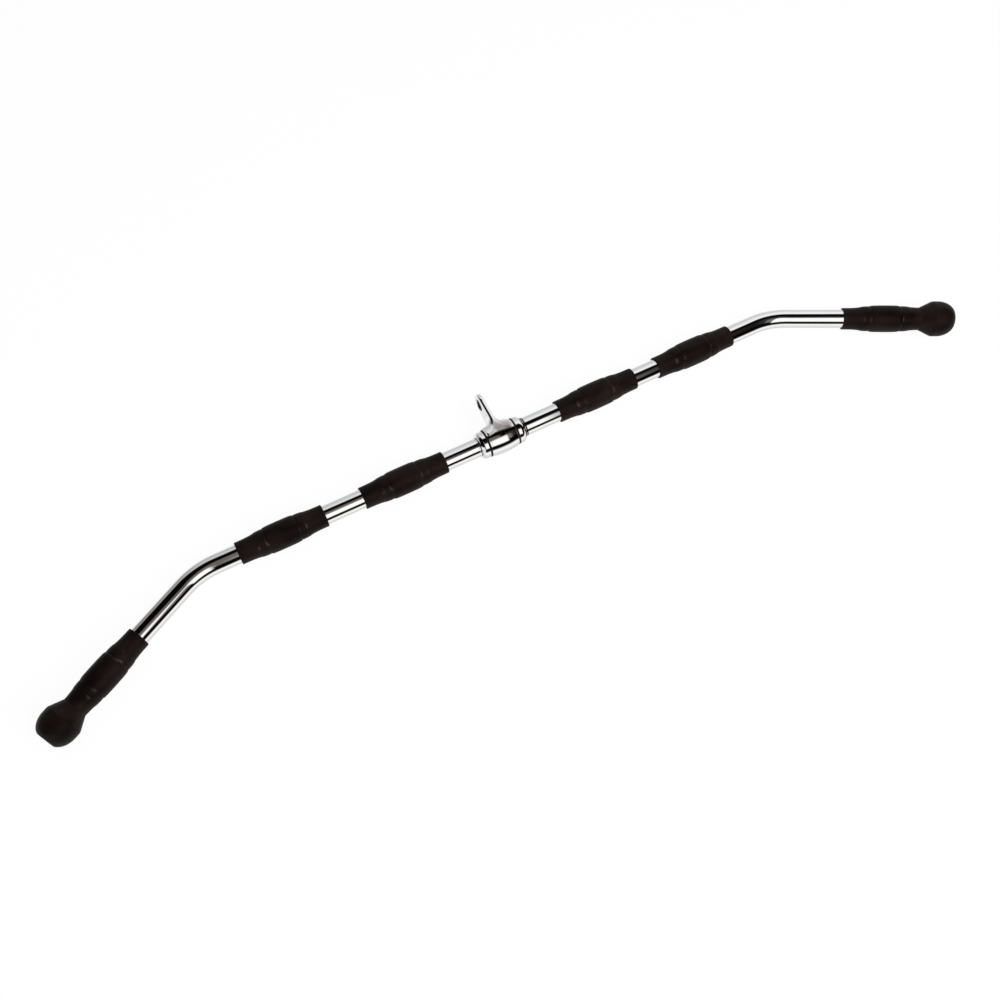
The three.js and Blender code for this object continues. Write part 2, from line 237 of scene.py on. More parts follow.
# %% [markdown]
# ## The studio
#
# Chrome has almost no colour of its own: what the eye reads as chrome is the room. The bands on
# the tube in the photograph say what the room was. From the top of the tube down there is a pale
# wall behind, a dark gap overhead, a large softbox in front above the camera, a thin dark line
# where the table ended, and the white table.
#
# A photographer gets those bands with a tent of cards round the object, just out of the picture.
# Here the tent is a long drum about the bar's axis that only reflections see. Its brightness
# is painted by the angle round the axis, and by the place along it for the softbox, which is
# about 1 m wide. All sizes of the studio are in metres.

# %% The tent's walls
TENT_R = 2.2
TENT_HALF = 5.0
TENT_SIDES = 64


def built(name, shell):
    """A new object in the scene, from a shell of faces that is then freed."""
    mesh = bpy.data.meshes.new(name)
    shell.to_mesh(mesh)
    shell.free()
    return placed(name, mesh)


def drum():
    """A closed drum about the hub's axis, its faces turned inwards."""
    shell = bmesh.new()
    turn = Matrix.Translation(HUB) @ Matrix.Rotation(math.pi / 2, 4, "Y")
    size = {"radius1": TENT_R, "radius2": TENT_R, "depth": 2 * TENT_HALF}
    bmesh.ops.create_cone(shell, segments=TENT_SIDES, cap_ends=True, matrix=turn, **size)
    bmesh.ops.reverse_faces(shell, faces=shell.faces)
    return built("tent", shell)


tent = drum()
for kind in ("camera", "diffuse", "transmission", "volume_scatter", "shadow"):
    setattr(tent, f"visible_{kind}", False)
print("tent:", round(2 * TENT_R, 1), "m across,", round(2 * TENT_HALF, 1), "m long")

# %% [markdown]
# The paint has three layers. The pale table and the pale far wall come first, as a row of
# brightnesses by the angle round the drum: 0 is the near horizon, 90 overhead, 180 the far horizon
# and 270 straight down. Between them lies the dark gap overhead. On the gap hang the cards: the
# softbox, and the dim things round it. Every edge of a card is a line along the drum that may
# lean or bow a little, and is soft, as edges in a studio are.

# %% The tent's levels
# Degrees round the drum, and the brightness there.
TABLE_AND_WALL = [
    (-90, (0.76, 0.75, 0.74)),
    (-66, (0.76, 0.75, 0.74)),
    (-50, (0.87, 0.86, 0.85)),
    (-34, (1.06, 1.05, 1.04)),
    (-26, (1.10, 1.09, 1.08)),
    (-19, (0.96, 0.95, 0.94)),
    (-14, (0.36, 0.35, 0.35)),
    (-9, (0.03, 0.03, 0.03)),
    (-4, (0.003, 0.003, 0.003)),
    (100, (0.92, 0.92, 0.92)),
    (124, (0.90, 0.90, 0.91)),
    (136, (0.77, 0.77, 0.78)),
    (150, (0.68, 0.68, 0.70)),
    (178, (0.55, 0.56, 0.56)),
    (195, (0.80, 0.80, 0.80)),
    (228, (1.00, 1.00, 1.00)),
    (250, (0.76, 0.75, 0.76)),
    (270, (0.76, 0.75, 0.74)),
]
# Metres along the drum, and what the wall's brightness is multiplied by there.
WALL_ALONG = [
    (-1.3, (0.48, 0.45, 0.41)),
    (-0.8, (0.80, 0.79, 0.77)),
    (0.0, (1.00, 1.00, 1.00)),
    (1.0, (1.07, 1.07, 1.07)),
    (2.0, (1.15, 1.15, 1.15)),
]
GAP_COLOUR = (0.003, 0.002, 0.002, 1.0)

# Left and right edges are metres and softness; bottom and top are degrees, softness, lean and bow.
CARDS = [
    ("dim room", (0.68, 0.12), (1.4, 0.4), (34, 7), (74, 8), (0.048, 0.038, 0.032)),
    ("brown glow", (-0.6, 0.15), (0.38, 0.13), (56, 6), (84, 5, -8), (0.165, 0.135, 0.118)),
    ("pale corner", (0.75, 0.1), (1.06, 0.14), (28, 4), (60, 6), (0.20, 0.198, 0.18)),
    ("half light", (-0.5, 0.08), (-0.25, 0.1), (33, 3), (57, 6), (0.25, 0.24, 0.235)),
    ("softbox", (-0.3, 0.12), (0.74, 0.08), (17.5, 5, -4, 2), (60, 8), (1.15, 1.14, 1.12)),
    ("left table", (-6, 0.5), (-0.95, 0.15), (-10, 4), (36, 5), (0.95, 0.95, 0.94)),
]
# The wall's lower edge is written like the bottom of a card. The table has one edge on each side.
WALL_EDGE = (118, 6, -20, 7.8)
NEAR_TABLE_EDGE, FAR_TABLE_EDGE = (-5, -1), (183, 195)
# Edges lean and bow between these places along the drum, in metres, and run straight past them.
EDGE_REACH = (-0.95, 1.8)
print("tent:", len(TABLE_AND_WALL), "levels and", len(CARDS), "cards")


# %% The tent's paint
def above(tree, along, angle, at, soft, lean=0.0, bow=0.0):
    """0 below a line along the tent and 1 above it."""
    held = tree.limited(along, *EDGE_REACH)
    return tree.span(angle - (held * held * bow + held * lean + at), -soft, soft)


def edge(at, soft):
    """Where a soft edge begins and where it ends."""
    return at - soft, at + soft


def stops(levels):
    """A colour ramp over a range of numbers: its stops, where it begins and how far it runs."""
    start, run = levels[0][0], levels[-1][0] - levels[0][0]
    return {"stops": [((at - start) / run, colour) for at, colour in levels]}, start, run


paint = bpy.data.materials.new("tent_paint")
tree = blank(paint)
paint.cycles.emission_sampling = "NONE"
where = tree.node("ShaderNodeTexCoord", out="Object")
spot = tree.node("ShaderNodeSeparateXYZ", sockets={0: where})
along, across, up = spot, spot.other(1), spot.other(2)
turn = tree.math("ARCTAN2", up - HUB.z, HUB.y - across) * (180 / math.pi)
angle = turn + tree.math("LESS_THAN", turn, -90.0) * 360

ramp, start, run = stops(TABLE_AND_WALL)
pale = tree.node("ShaderNodeValToRGB", ramp, {0: (angle - start) / run})
ramp, start, run = stops(WALL_ALONG)
gain = tree.node("ShaderNodeValToRGB", ramp, {0: (along - start) / run})
wall = above(tree, along, angle, *WALL_EDGE)
table = 1 - tree.span(angle, *NEAR_TABLE_EDGE) + tree.span(angle, *FAR_TABLE_EDGE)
painted = tree.mix(wall, GAP_COLOUR, tree.mix(1.0, pale, gain, blend="MULTIPLY"))
painted = tree.mix(table, painted, pale)
for name, left, right, bottom, top, colour in CARDS:
    mask = tree.between(along, edge(*left), edge(*right))
    mask = mask * above(tree, along, angle, *bottom) * (1 - above(tree, along, angle, *top))
    painted = tree.mix(mask, painted, (*colour, 1.0))
glow = tree.node("ShaderNodeEmission", sockets={"Color": painted, "Strength": 1.0})
tree.node("ShaderNodeOutputMaterial", sockets={"Surface": glow})
tent.data.materials.append(paint)
print("tent paint:", len(paint.node_tree.nodes), "nodes")

# %% [markdown]
# The floor is plain, pale and large. It takes the bar's soft shadow as any white table would.
# What the camera sees of it is lifted most of the way to just over white, as the picture's
# background is white, and a share of the lit floor is kept so that the shadow stays.

# %% Floor
FLOOR_SIZE = 12
SHADOW_SHARE = 0.08
FLOOR_LEVEL = 1.02
WHITE = (1.0, 1.0, 1.0, 1.0)
FLOOR_PAINT = (0.9, 0.9, 0.9, 1.0)


def followed(tree):
    """1 for what a viewer sees, straight, in a mirror or through glass, and 0 for light that spreads."""
    rays = tree.node("ShaderNodeLightPath", out="Is Camera Ray")
    return tree.limited(rays + rays.other("Is Glossy Ray") + rays.other("Is Transmission Ray"))


floor_shell = bmesh.new()
bmesh.ops.create_grid(floor_shell, x_segments=1, y_segments=1, size=FLOOR_SIZE / 2)
floor = built("floor", floor_shell)
floor.visible_glossy = False

lino = bpy.data.materials.new("pale_floor")
tree = blank(lino)
lit = tree.node("ShaderNodeBsdfDiffuse", sockets={"Color": FLOOR_PAINT})
white = tree.node("ShaderNodeEmission", sockets={"Color": WHITE, "Strength": FLOOR_LEVEL})
lift = followed(tree) * (1 - SHADOW_SHARE)
floor_look = tree.node("ShaderNodeMixShader", sockets={0: lift, 1: lit, 2: white})
tree.node("ShaderNodeOutputMaterial", sockets={"Surface": floor_look})
floor.data.materials.append(lino)
print("floor:", FLOOR_SIZE, "m square")

# %% [markdown]
# Two large area lamps and a bright, even world light whatever is not a mirror: the rubber and the
# floor. They are hidden from reflections, because the tent already shows the softbox there. Their
# strength is set by the rubber, whose steps should only just show.

# %% Lamps and world
# Each lamp's name, its place and size in metres, and its power in watts.
LAMPS = [
    ("front_softbox", (0.6, -1.7, 1.7), 1.9, 56),
    ("top_softbox", (-0.5, 0.6, 2.4), 2.0, 8),
]
WORLD_LEVEL = 0.36

for name, place, size, power in LAMPS:
    lamp = bpy.data.lights.new(name, "AREA")
    lamp.shape, lamp.size, lamp.energy = "SQUARE", size, power
    held = placed(name, lamp)
    held.location = place
    held.rotation_euler = (HUB - Vector(place)).to_track_quat("-Z", "Y").to_euler()
    held.visible_camera = held.visible_glossy = False

world = bpy.data.worlds.new("studio_world")
bpy.context.scene.world = world
tree = blank(world)
level = WORLD_LEVEL + followed(tree) * (1 - WORLD_LEVEL)
sky = tree.node("ShaderNodeBackground", sockets={"Color": WHITE, "Strength": level})
tree.node("ShaderNodeOutputWorld", sockets={"Surface": sky})
print("lamps:", [name for name, *_ in LAMPS], "world level", WORLD_LEVEL)

# %% [markdown]
# ## Finishes
#
# Each finish is a Principled shader. Its fixed values are set on the shader's own sockets, and
# only what changes over the surface is linked: a little colour, the roughness, and a bump.
#
# Patterns are read from Object coordinates. Every piece's object stays at the origin, so these are
# metres in the bar's own frame, and a scale of 1000 makes a pattern about a millimetre across.


# %% A finish to start from
def finish(name, **fixed):
    """A material with a Principled shader: it, its tree, the shader's sockets and Object coordinates."""
    made = bpy.data.materials.new(name)
    tree = blank(made)
    shader = tree.node("ShaderNodeBsdfPrincipled")
    sockets = shader.socket.node.inputs
    for key, value in fixed.items():
        tree.feed(named(sockets, key.replace("_", " ")), value)
    tree.node("ShaderNodeOutputMaterial", sockets={"Surface": shader})
    return made, tree, sockets, tree.node("ShaderNodeTexCoord", out="Object")


def noise(tree, where, scale, stretch=(1, 1, 1), detail=3.0):
    """A noise from 0 to 1, about 1/scale metres across, drawn out by stretch."""
    spread = tree.node("ShaderNodeMapping", sockets={0: where, "Scale": [1 / s for s in stretch]})
    return tree.node("ShaderNodeTexNoise", sockets={"Vector": spread, "Scale": scale, "Detail": detail})


def bump(tree, height, strength, distance):
    """A normal from a height, whose full range is distance metres."""
    sockets = {"Strength": strength, "Distance": distance, "Height": height}
    return tree.node("ShaderNodeBump", sockets=sockets)


# %% [markdown]
# ### Chrome
#
# Decorative chrome is a mirror with two flaws that the eye needs. The steel under it was polished
# on a wheel, so the mirror is never quite flat and the bands in it waver. And handling leaves fine
# scratches and a faint haze, which show as small changes of roughness. Both are far too shallow
# to model, so they are a bump and a roughness pattern.
#
# Two places get painted shade in their colour. The seams between parts and the inside of the eye
# are painted dark, where shade falls, and a little rougher. The hollow at the lug's root is
# painted darker and brownish, darkest next to the barrel, and it is a little rougher too.

# %% The seams and the eye
# Places along the bar from the hub's middle.
SLEEVE_HALF = 20.2
WASHER_START = SLEEVE_HALF + GAP
WASHER_END = WASHER_START + 1
WASHER_MIDDLE = (WASHER_START + WASHER_END) / 2
COLLAR_START = WASHER_END + GAP
COLLAR_LENGTH = 10.2
COLLAR_END = COLLAR_START + COLLAR_LENGTH
RING_START = COLLAR_END + 1.2
RING_END = RING_START + 1.4
# Places out from the hub's axis: the lug's tip and the middle of its eye.
LUG_REACH, LUG_HALF_WIDTH = 68, 15
EYE_PLACE, EYE_R = LUG_REACH - LUG_HALF_WIDTH, 8

# Where a seam is painted with shade, and half the width of it.
SEAMS = [
    (-COLLAR_END - 0.6, 0.4),
    (-WASHER_MIDDLE, 1.6),
    (WASHER_MIDDLE, 1.7),
    (COLLAR_END + 0.4, 1.5),
    (RING_END + 0.8, 1.3),
]
# The colour of the painted shade in the seams and the eye, and how much rougher it makes the chrome.
SEAM_SHADE = (0.02, 0.008, 0.009, 1.0)
SEAM_SHADE_ROUGHNESS = 0.35
EYE_CENTRE = HANGER @ Vector((0, EYE_PLACE * MM, 0))
# How dark the inside of the eye is painted with shade, and where that shade fades out.
EYE_SHADE, EYE_SHADE_EDGE = 0.9, (EYE_R, EYE_R + 0.5)
print("painted_shade in", len(SEAMS), "seams and the eye")

# %% The painted shade in the hollow at the lug's root
# Where its painted shade and its dullness rise and fall, out from the hub's axis and along the bar,
# and how much of them is lost on the slope between the two.
HOLLOW_OUT = (-7.0, 3.0), (20.0, 36.0)
HOLLOW_ALONG = (-8.5, -2.0), (13.0, 21.0)
HOLLOW_SLOPE, SLOPE_LOSS = (14.0, 21.0), 0.85
HOLLOW_REACH = 17.0
HOLLOW_ROUGHNESS = 0.12
# The colour of the painted shade: darkest next to the barrel and paler further out along the lug.
ROOT_DARK, ROOT_PALE = (0.20, 0.15, 0.135, 1.0), (0.72, 0.68, 0.66, 1.0)


def lug_root_shade(tree, spot):
    """How much painted shade and dullness the hollow between barrel and lug has, in the hanger's own
    directions, and the shade's colour.
    """
    along, across, up = spot / MM, spot.other(1) - HUB.y, spot.other(2) - HUB.z
    out = (across * math.cos(LUG_RAISE) + up * math.sin(LUG_RAISE)) / MM
    share = tree.between(out, *HOLLOW_OUT) * tree.between(along, *HOLLOW_ALONG)
    share = share * (1 - SLOPE_LOSS * tree.span(out + along * 0.5, *HOLLOW_SLOPE))
    return share, tree.mix(tree.limited(out / HOLLOW_REACH + 0.05), ROOT_DARK, ROOT_PALE)


# %% Chrome
def chrome(name, wave_height, wave_stretch, tint, root=None):
    """Chrome whose mirror waves by that height in metres; root adds a duller place with painted shade, and
    the shade's colour.
    """
    made, tree, sockets, where = finish(name, Metallic=1.0)
    haze = noise(tree, where, 60, (3, 1, 1), 4)
    scratch = noise(tree, where, 900, (14, 1, 1), 2)
    fine = tree.span(scratch, 0.58, 0.72)
    wave = noise(tree, where, 45, wave_stretch, 2)
    spot = tree.node("ShaderNodeSeparateXYZ", sockets={0: where})
    from_eye = ((spot.other(1) - EYE_CENTRE.y) ** 2 + (spot.other(2) - EYE_CENTRE.z) ** 2) ** 0.5 / MM
    # Painted shade inside the eye and in the seams between parts: a darker colour and more roughness.
    seam_shade = EYE_SHADE * (1 - tree.span(from_eye, *EYE_SHADE_EDGE))
    for at, half in SEAMS:
        seam_shade = seam_shade + tree.near(spot / MM, at, half * 0.7, half * 1.1)
    seam_shade = tree.limited(seam_shade * (0.8 + haze * 0.3))
    worn = tuple(level * 0.93 for level in tint)
    shade = tree.mix(haze * 0.5 + fine * 0.3, (*tint, 1.0), (*worn, 1.0))
    rough = 0.02 + haze * 0.02 + fine * 0.04 + seam_shade * SEAM_SHADE_ROUGHNESS
    # The hollow at the lug's root: painted shade in the colour, and more roughness.
    if root:
        dull_and_shaded, root_shade_colour = root(tree, spot)
        shade = tree.mix(dull_and_shaded, shade, root_shade_colour)
        rough = rough + dull_and_shaded * HOLLOW_ROUGHNESS
    tree.feed(named(sockets, "Base Color"), tree.mix(seam_shade, shade, SEAM_SHADE))
    tree.feed(named(sockets, "Roughness"), rough)
    tree.feed(named(sockets, "Normal"), bump(tree, wave + fine * 0.01, 1.0, wave_height))
    return made


TUBE_LOOK = (0.00006, (5, 1, 1), (0.89, 0.895, 0.9))
CAST_LOOK = (0.00012, (1, 1, 1), (0.88, 0.885, 0.89))
BAR_CHROME = chrome("bar_chrome", *TUBE_LOOK)
CAST_CHROME = chrome("cast_chrome", *CAST_LOOK)
HANGER_CHROME = chrome("hanger_chrome", *CAST_LOOK, root=lug_root_shade)
print("chrome:", BAR_CHROME.name, CAST_CHROME.name, HANGER_CHROME.name)

# %% [markdown]
# ### Rubber
#
# The grips are dense, moulded rubber, nearly black and a little warm. It isn't shiny, but its
# steps catch a soft light, so it sits between matt and satin. Close up it has the fine grain of
# the mould, and hands have rubbed some patches smoother than others. The ridges between the
# fingers are rubbed to a shine where the hand pulls, up and to the front: a thin coat there, by
# the place along the grip and by the turn about it.

# %% Rubber
RUBBER_DARK, RUBBER_WORN = (0.0046, 0.0022, 0.0019, 1.0), (0.0130, 0.0072, 0.0060, 1.0)
RUBBER_DUST = (0.024, 0.017, 0.015, 1.0)
# A grip of the central run is measured from its middle, an end grip from the bend's corner.
GRIP_HALF = 59
END_START = 104.5
SWELL_END = END_START + 2 * GRIP_HALF
# Two ridges stand this far from the end of a grip.
RIDGE_PLACES = (26.6, 37.8)
RIDGE_HALF = 2.6
RUBBED_TURN, RUBBED_REACH = math.radians(124), math.radians(24)
CORE_SHARE = 0.3

GRIP_RUBBER, tree, sockets, where = finish("grip_rubber", Specular_IOR_Level=0.08, Coat_Roughness=0.25)
grain = noise(tree, where, 2600, detail=3)
patch = noise(tree, where, 34, (1.6, 1, 1), 3)
dust = tree.span(noise(tree, where, 420, detail=5), 0.6, 0.8)
worn = tree.mix(tree.span(patch, 0.3, 0.7), RUBBER_DARK, RUBBER_WORN)
tree.feed(named(sockets, "Base Color"), tree.mix(dust * 0.35, worn, RUBBER_DUST))
tree.feed(named(sockets, "Roughness"), 0.36 + patch * 0.10 + grain * 0.08 + dust * 0.1)
tree.feed(named(sockets, "Normal"), bump(tree, grain + dust * 0.6, 0.5, 0.00006))

ridges = [GRIP_HALF - place for place in RIDGE_PLACES]
ridges += [END_START + place for place in RIDGE_PLACES]
ridges += [SWELL_END - place for place in RIDGE_PLACES]
along = tree.node("ShaderNodeAttribute", {"attribute_name": "along"}, out="Fac")
distance = tree.math("ABSOLUTE", along) / MM
turn = tree.node("ShaderNodeAttribute", {"attribute_name": "turn"}, out="Fac")
rubbed = tree.near(turn, RUBBED_TURN, RUBBED_REACH * CORE_SHARE, RUBBED_REACH)
shine = 0.0
for ridge in ridges:
    shine = tree.near(distance, ridge, RIDGE_HALF * CORE_SHARE, RIDGE_HALF) + shine
tree.feed(named(sockets, "Coat Weight"), tree.limited(shine * rubbed * (0.6 + patch * 0.7)))
print("rubber:", GRIP_RUBBER.name, "with", len(ridges), "ridges")

# %% [markdown]
# ### The small parts
#
# The washers and plugs are black nylon, the bushes are sintered bronze with an oily, speckled
# surface, and the grub screws are steel with a black oxide skin that is worn at the rim.

# %% Nylon, bronze and black steel
NYLON_SHADES = (0.010, 0.009, 0.009, 1.0), (0.020, 0.018, 0.017, 1.0)
BRONZE_SHADES = (0.36, 0.22, 0.10, 1.0), (0.62, 0.43, 0.22, 1.0)
STEEL_SHADES = (0.035, 0.035, 0.038, 1.0), (0.22, 0.22, 0.23, 1.0)

NYLON, tree, sockets, where = finish("black_nylon")
cloud = noise(tree, where, 300, detail=4)
tree.feed(named(sockets, "Base Color"), tree.mix(cloud, *NYLON_SHADES))
tree.feed(named(sockets, "Roughness"), 0.38 + cloud * 0.2)
tree.feed(named(sockets, "Normal"), bump(tree, noise(tree, where, 1800), 0.4, 0.00003))

BRONZE, tree, sockets, where = finish("sintered_bronze", Metallic=1.0)
speck = tree.span(noise(tree, where, 2400, detail=2), 0.45, 0.6)
tree.feed(named(sockets, "Base Color"), tree.mix(speck, *BRONZE_SHADES))
tree.feed(named(sockets, "Roughness"), 0.48 - speck * 0.16)
tree.feed(named(sockets, "Normal"), bump(tree, speck, 0.6, 0.00004))

BLACK_STEEL, tree, sockets, where = finish("black_oxide_steel", Metallic=1.0)
rub = tree.span(noise(tree, where, 700, detail=4), 0.52, 0.7)
tree.feed(named(sockets, "Base Color"), tree.mix(rub, *STEEL_SHADES))
tree.feed(named(sockets, "Roughness"), 0.5 - rub * 0.18)
tree.feed(named(sockets, "Normal"), bump(tree, noise(tree, where, 1500), 0.3, 0.00003))
print("small parts:", NYLON.name, BRONZE.name, BLACK_STEEL.name)

# %% [markdown]
# ## Turned parts
#
# Almost everything here is round about an axis: grips, sleeve, collars, washers, rings. On a lathe
# such a part is its outline, spun. The Geometry Nodes tree below does the same. It lays out a grid
# with one column of points for every facet and one row for every point of the outline, reads each
# point's place along and out from the axis off the outline, and wraps the grid into a ring. The
# place along and the turn are kept as attributes too, and the rubber's finish reads them.
#
# An outline is written as corners: along the axis, out from it, and how far from the corner its
# rounding starts. The rounding is what a real edge has, and what catches the light.

# %% Outlines
ROUNDING_STEPS = 6


def rounded(corners):
    """Points of an outline in millimetres, each corner (along, out, rounding) turned into a small curve."""
    outline = []
    for number, (along, out, size) in enumerate(corners):
        here = Vector((along, out))
        if not size:
            outline.append(here)
            continue
        back = Vector(corners[number - 1][:2]) - here
        on = Vector(corners[(number + 1) % len(corners)][:2]) - here
        start = here + back.normalized() * min(size, back.length / 2)
        end = here + on.normalized() * min(size, on.length / 2)
        for step in range(ROUNDING_STEPS + 1):
            t = step / ROUNDING_STEPS
            outline.append(start.lerp(here, t).lerp(here.lerp(end, t), t))
    return outline


def closed(corners):
    """A rounded outline that comes back to where it began, for a part with a bore."""
    outline = rounded(corners)
    return outline + outline[:1]


# %% The lathe as a tree
# Points closer than this, in metres, are one point: on the lathe, in a skin of rings, after a cut.
LATHE_JOIN, SKIN_JOIN, CUT_JOIN = 2e-6, 1e-6, 3e-6


def group_inputs(nodes, kinds):
    """Named inputs of a geometry tree, and its Group Input's values under the same names."""
    for name, kind in kinds.items():
        nodes.interface.new_socket(name=name, in_out="INPUT", socket_type=kind)
    nodes.interface.new_socket(name="Geometry", in_out="OUTPUT", socket_type="NodeSocketGeometry")
    tree = Tree(nodes)
    given = tree.node("NodeGroupInput")
    return tree, {name: given.other(name) for name in kinds}


def group_output(tree, geometry, look):
    """The end of a geometry tree: real geometry, with its finish."""
    real = tree.node("GeometryNodeRealizeInstances", sockets={0: geometry})
    dressed = tree.node("GeometryNodeSetMaterial", sockets={"Geometry": real, "Material": look})
    tree.node("NodeGroupOutput", sockets={0: dressed})


def lathe_tree():
    nodes = bpy.data.node_groups.new("lathe", "GeometryNodeTree")
    kinds = {"Outline": "NodeSocketGeometry", "Facets": "NodeSocketInt", "Finish": "NodeSocketMaterial"}
    tree, given = group_inputs(nodes, kinds)
    rows = tree.node("GeometryNodeAttributeDomainSize", {"component": "MESH"}, {0: given["Outline"]})
    sheet = tree.node(
        "GeometryNodeMeshGrid", sockets={"Vertices X": given["Facets"] + 1, "Vertices Y": rows}
    )
    index = tree.node("GeometryNodeInputIndex")
    facet = tree.math("FLOOR", (index + 0.5) / rows)
    row = index - facet * rows
    place = tree.node("GeometryNodeInputPosition")
    point = tree.node(
        "GeometryNodeSampleIndex",
        {"data_type": "FLOAT_VECTOR"},
        {"Geometry": given["Outline"], "Value": place, "Index": tree.math("ROUND", row)},
    )
    point = tree.node("ShaderNodeSeparateXYZ", sockets={0: point})
    turn = facet / given["Facets"] * (2 * math.pi)
    out = point.other(1)
    spun = tree.node(
        "ShaderNodeCombineXYZ",
        sockets={0: point, 1: out * tree.math("COSINE", turn), 2: out * tree.math("SINE", turn)},
    )
    wrapped = tree.node("GeometryNodeSetPosition", sockets={"Geometry": sheet, "Position": spun})
    for name, value in (("along", point), ("turn", turn)):
        sockets = {"Geometry": wrapped, "Name": name, "Value": value}
        wrapped = tree.node("GeometryNodeStoreNamedAttribute", {"data_type": "FLOAT"}, sockets)
    sockets = {"Geometry": wrapped, "Distance": LATHE_JOIN}
    group_output(tree, tree.node("GeometryNodeMergeByDistance", sockets=sockets), given["Finish"])
    return nodes


LATHE = lathe_tree()
print("lathe tree:", len(LATHE.nodes), "nodes")


# %% [markdown]
# A modifier's inputs are set by each socket's identifier, before the object is first evaluated.
# The result becomes a plain mesh. A cut leaves some points a hair apart and some faces with many
# sides, so points are joined and such faces split evenly. Then all faces are made to point
# outwards, and edges sharper than a given angle stay crisp. A Weighted Normal modifier stays on
# each finished piece: it keeps the shine of a large flat face flat right up to its rounded edge.

# %% From a tree to a piece
CREASE = math.radians(30)


def modified(name, mesh, nodes, **inputs):
    """A new object with that mesh and a Geometry Nodes modifier, its inputs set by name."""
    made = placed(name, mesh)
    modifier = made.modifiers.new("tree", "NODES")
    modifier.node_group = nodes
    for item in nodes.interface.items_tree:
        if item.in_out == "INPUT" and item.name in inputs:
            modifier[item.identifier] = inputs[item.name]
    return made


def plain(made):
    """The evaluated mesh of an object, whose modifiers then go, clean and with faces pointing outwards."""
    graph = bpy.context.evaluated_depsgraph_get()
    mesh = bpy.data.meshes.new_from_object(made.evaluated_get(graph))
    made.modifiers.clear()
    made.data = mesh
    shell = bmesh.new()
    shell.from_mesh(mesh)
    bmesh.ops.remove_doubles(shell, verts=shell.verts, dist=CUT_JOIN)
    bmesh.ops.dissolve_degenerate(shell, edges=shell.edges, dist=CUT_JOIN)
    many_sided = [face for face in shell.faces if len(face.verts) > 4]
    bmesh.ops.triangulate(shell, faces=many_sided, ngon_method="BEAUTY")
    bmesh.ops.recalc_face_normals(shell, faces=shell.faces)
    shell.to_mesh(mesh)
    shell.free()
    return made


def turned(name, outline, look, facets=64):
    """A turned part about the X axis, from an outline in millimetres."""
    mesh = bpy.data.meshes.new(name)
    mesh.from_pydata([(along * MM, out * MM, 0) for along, out in outline], [], [])
    return plain(modified(name, mesh, LATHE, Facets=facets, Finish=look))


def moved(made, matrix):
    """Puts a piece's place into its mesh, turned the right way out again if it was mirrored."""
    made.data.transform(matrix)
    if matrix.determinant() < 0:
        made.data.flip_normals()
    return made


def cut(made, tool, operation="DIFFERENCE"):
    """Cuts or joins a tool into a piece; the tool goes."""
    modifier = made.modifiers.new(operation.lower(), "BOOLEAN")
    modifier.operation, modifier.object, modifier.solver = operation, tool, "EXACT"
    plain(made)
    bpy.data.objects.remove(tool)


def dressed(made, nodes, body, slot):
    """The last steps of every piece: smooth shading, its body and the nodes it stands for; the slot is not
    used.
    """
    made.data.shade_smooth()
    made.data.set_sharp_from_angle(angle=CREASE)
    modifier = made.modifiers.new("even_shine", "WEIGHTED_NORMAL")
    modifier.keep_sharp = True
    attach(made, body)
    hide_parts(*nodes)
    made.data.calc_loop_triangles()
    print(f"{made.name}: {len(made.data.loop_triangles)} triangles")


MIRROR = Matrix.Scale(-1, 4, (1, 0, 0))

# %% [markdown]
# ## The bent tube
#
# The real tube starts straight and is bent round a former at two places. The script does the same:
# the lathe makes a straight tube with rows of points close together where the bends will be, and
# a second tree bends it. A point at distance s along the tube keeps its place in the section,
# and the section is carried along the centre line: straight, then round an arc, then straight.

# %% The straight tube
TUBE_END = 249.3
TUBE_WALL = 3.0
BORE_R = TUBE_R - TUBE_WALL
BEND_APEX = 424.6
BEND_RADIUS = 100
BEND_START = BEND_APEX - BEND_RADIUS * math.tan(BEND_ANGLE / 2)
BEND_RUN = BEND_RADIUS * BEND_ANGLE
TUBE_HALF = BEND_START + BEND_RUN + TUBE_END - BEND_RADIUS * math.tan(BEND_ANGLE / 2)
BEND_ROWS = 20
INNER_SHARES = (0, 0.25, 0.5, 0.75, 0.9, 0.97, 0.99)
OUTER_SHARES = (0.03, 0.1, 0.3, 0.6, 0.9)


def stations():
    """Places along the tube with a row of points, closest together in the bends."""
    half = [BEND_START * share for share in INNER_SHARES]
    half += [BEND_START + BEND_RUN * step / BEND_ROWS for step in range(BEND_ROWS + 1)]
    rest = TUBE_HALF - half[-1]
    half += [half[-1] + rest * share for share in OUTER_SHARES]
    return [-s for s in reversed(half[1:])] + half


rows = stations()
TUBE_OUTLINE = closed(
    [(-TUBE_HALF, BORE_R, 0.4), (-TUBE_HALF, TUBE_R, 0.6)]
    + [(s, TUBE_R, 0) for s in rows]
    + [(TUBE_HALF, TUBE_R, 0.6), (TUBE_HALF, BORE_R, 0.4)]
    + [(s, BORE_R, 0) for s in reversed(rows)]
)
print("straight tube:", round(2 * TUBE_HALF, 1), "mm long, bends from", round(BEND_START, 1), "mm out")


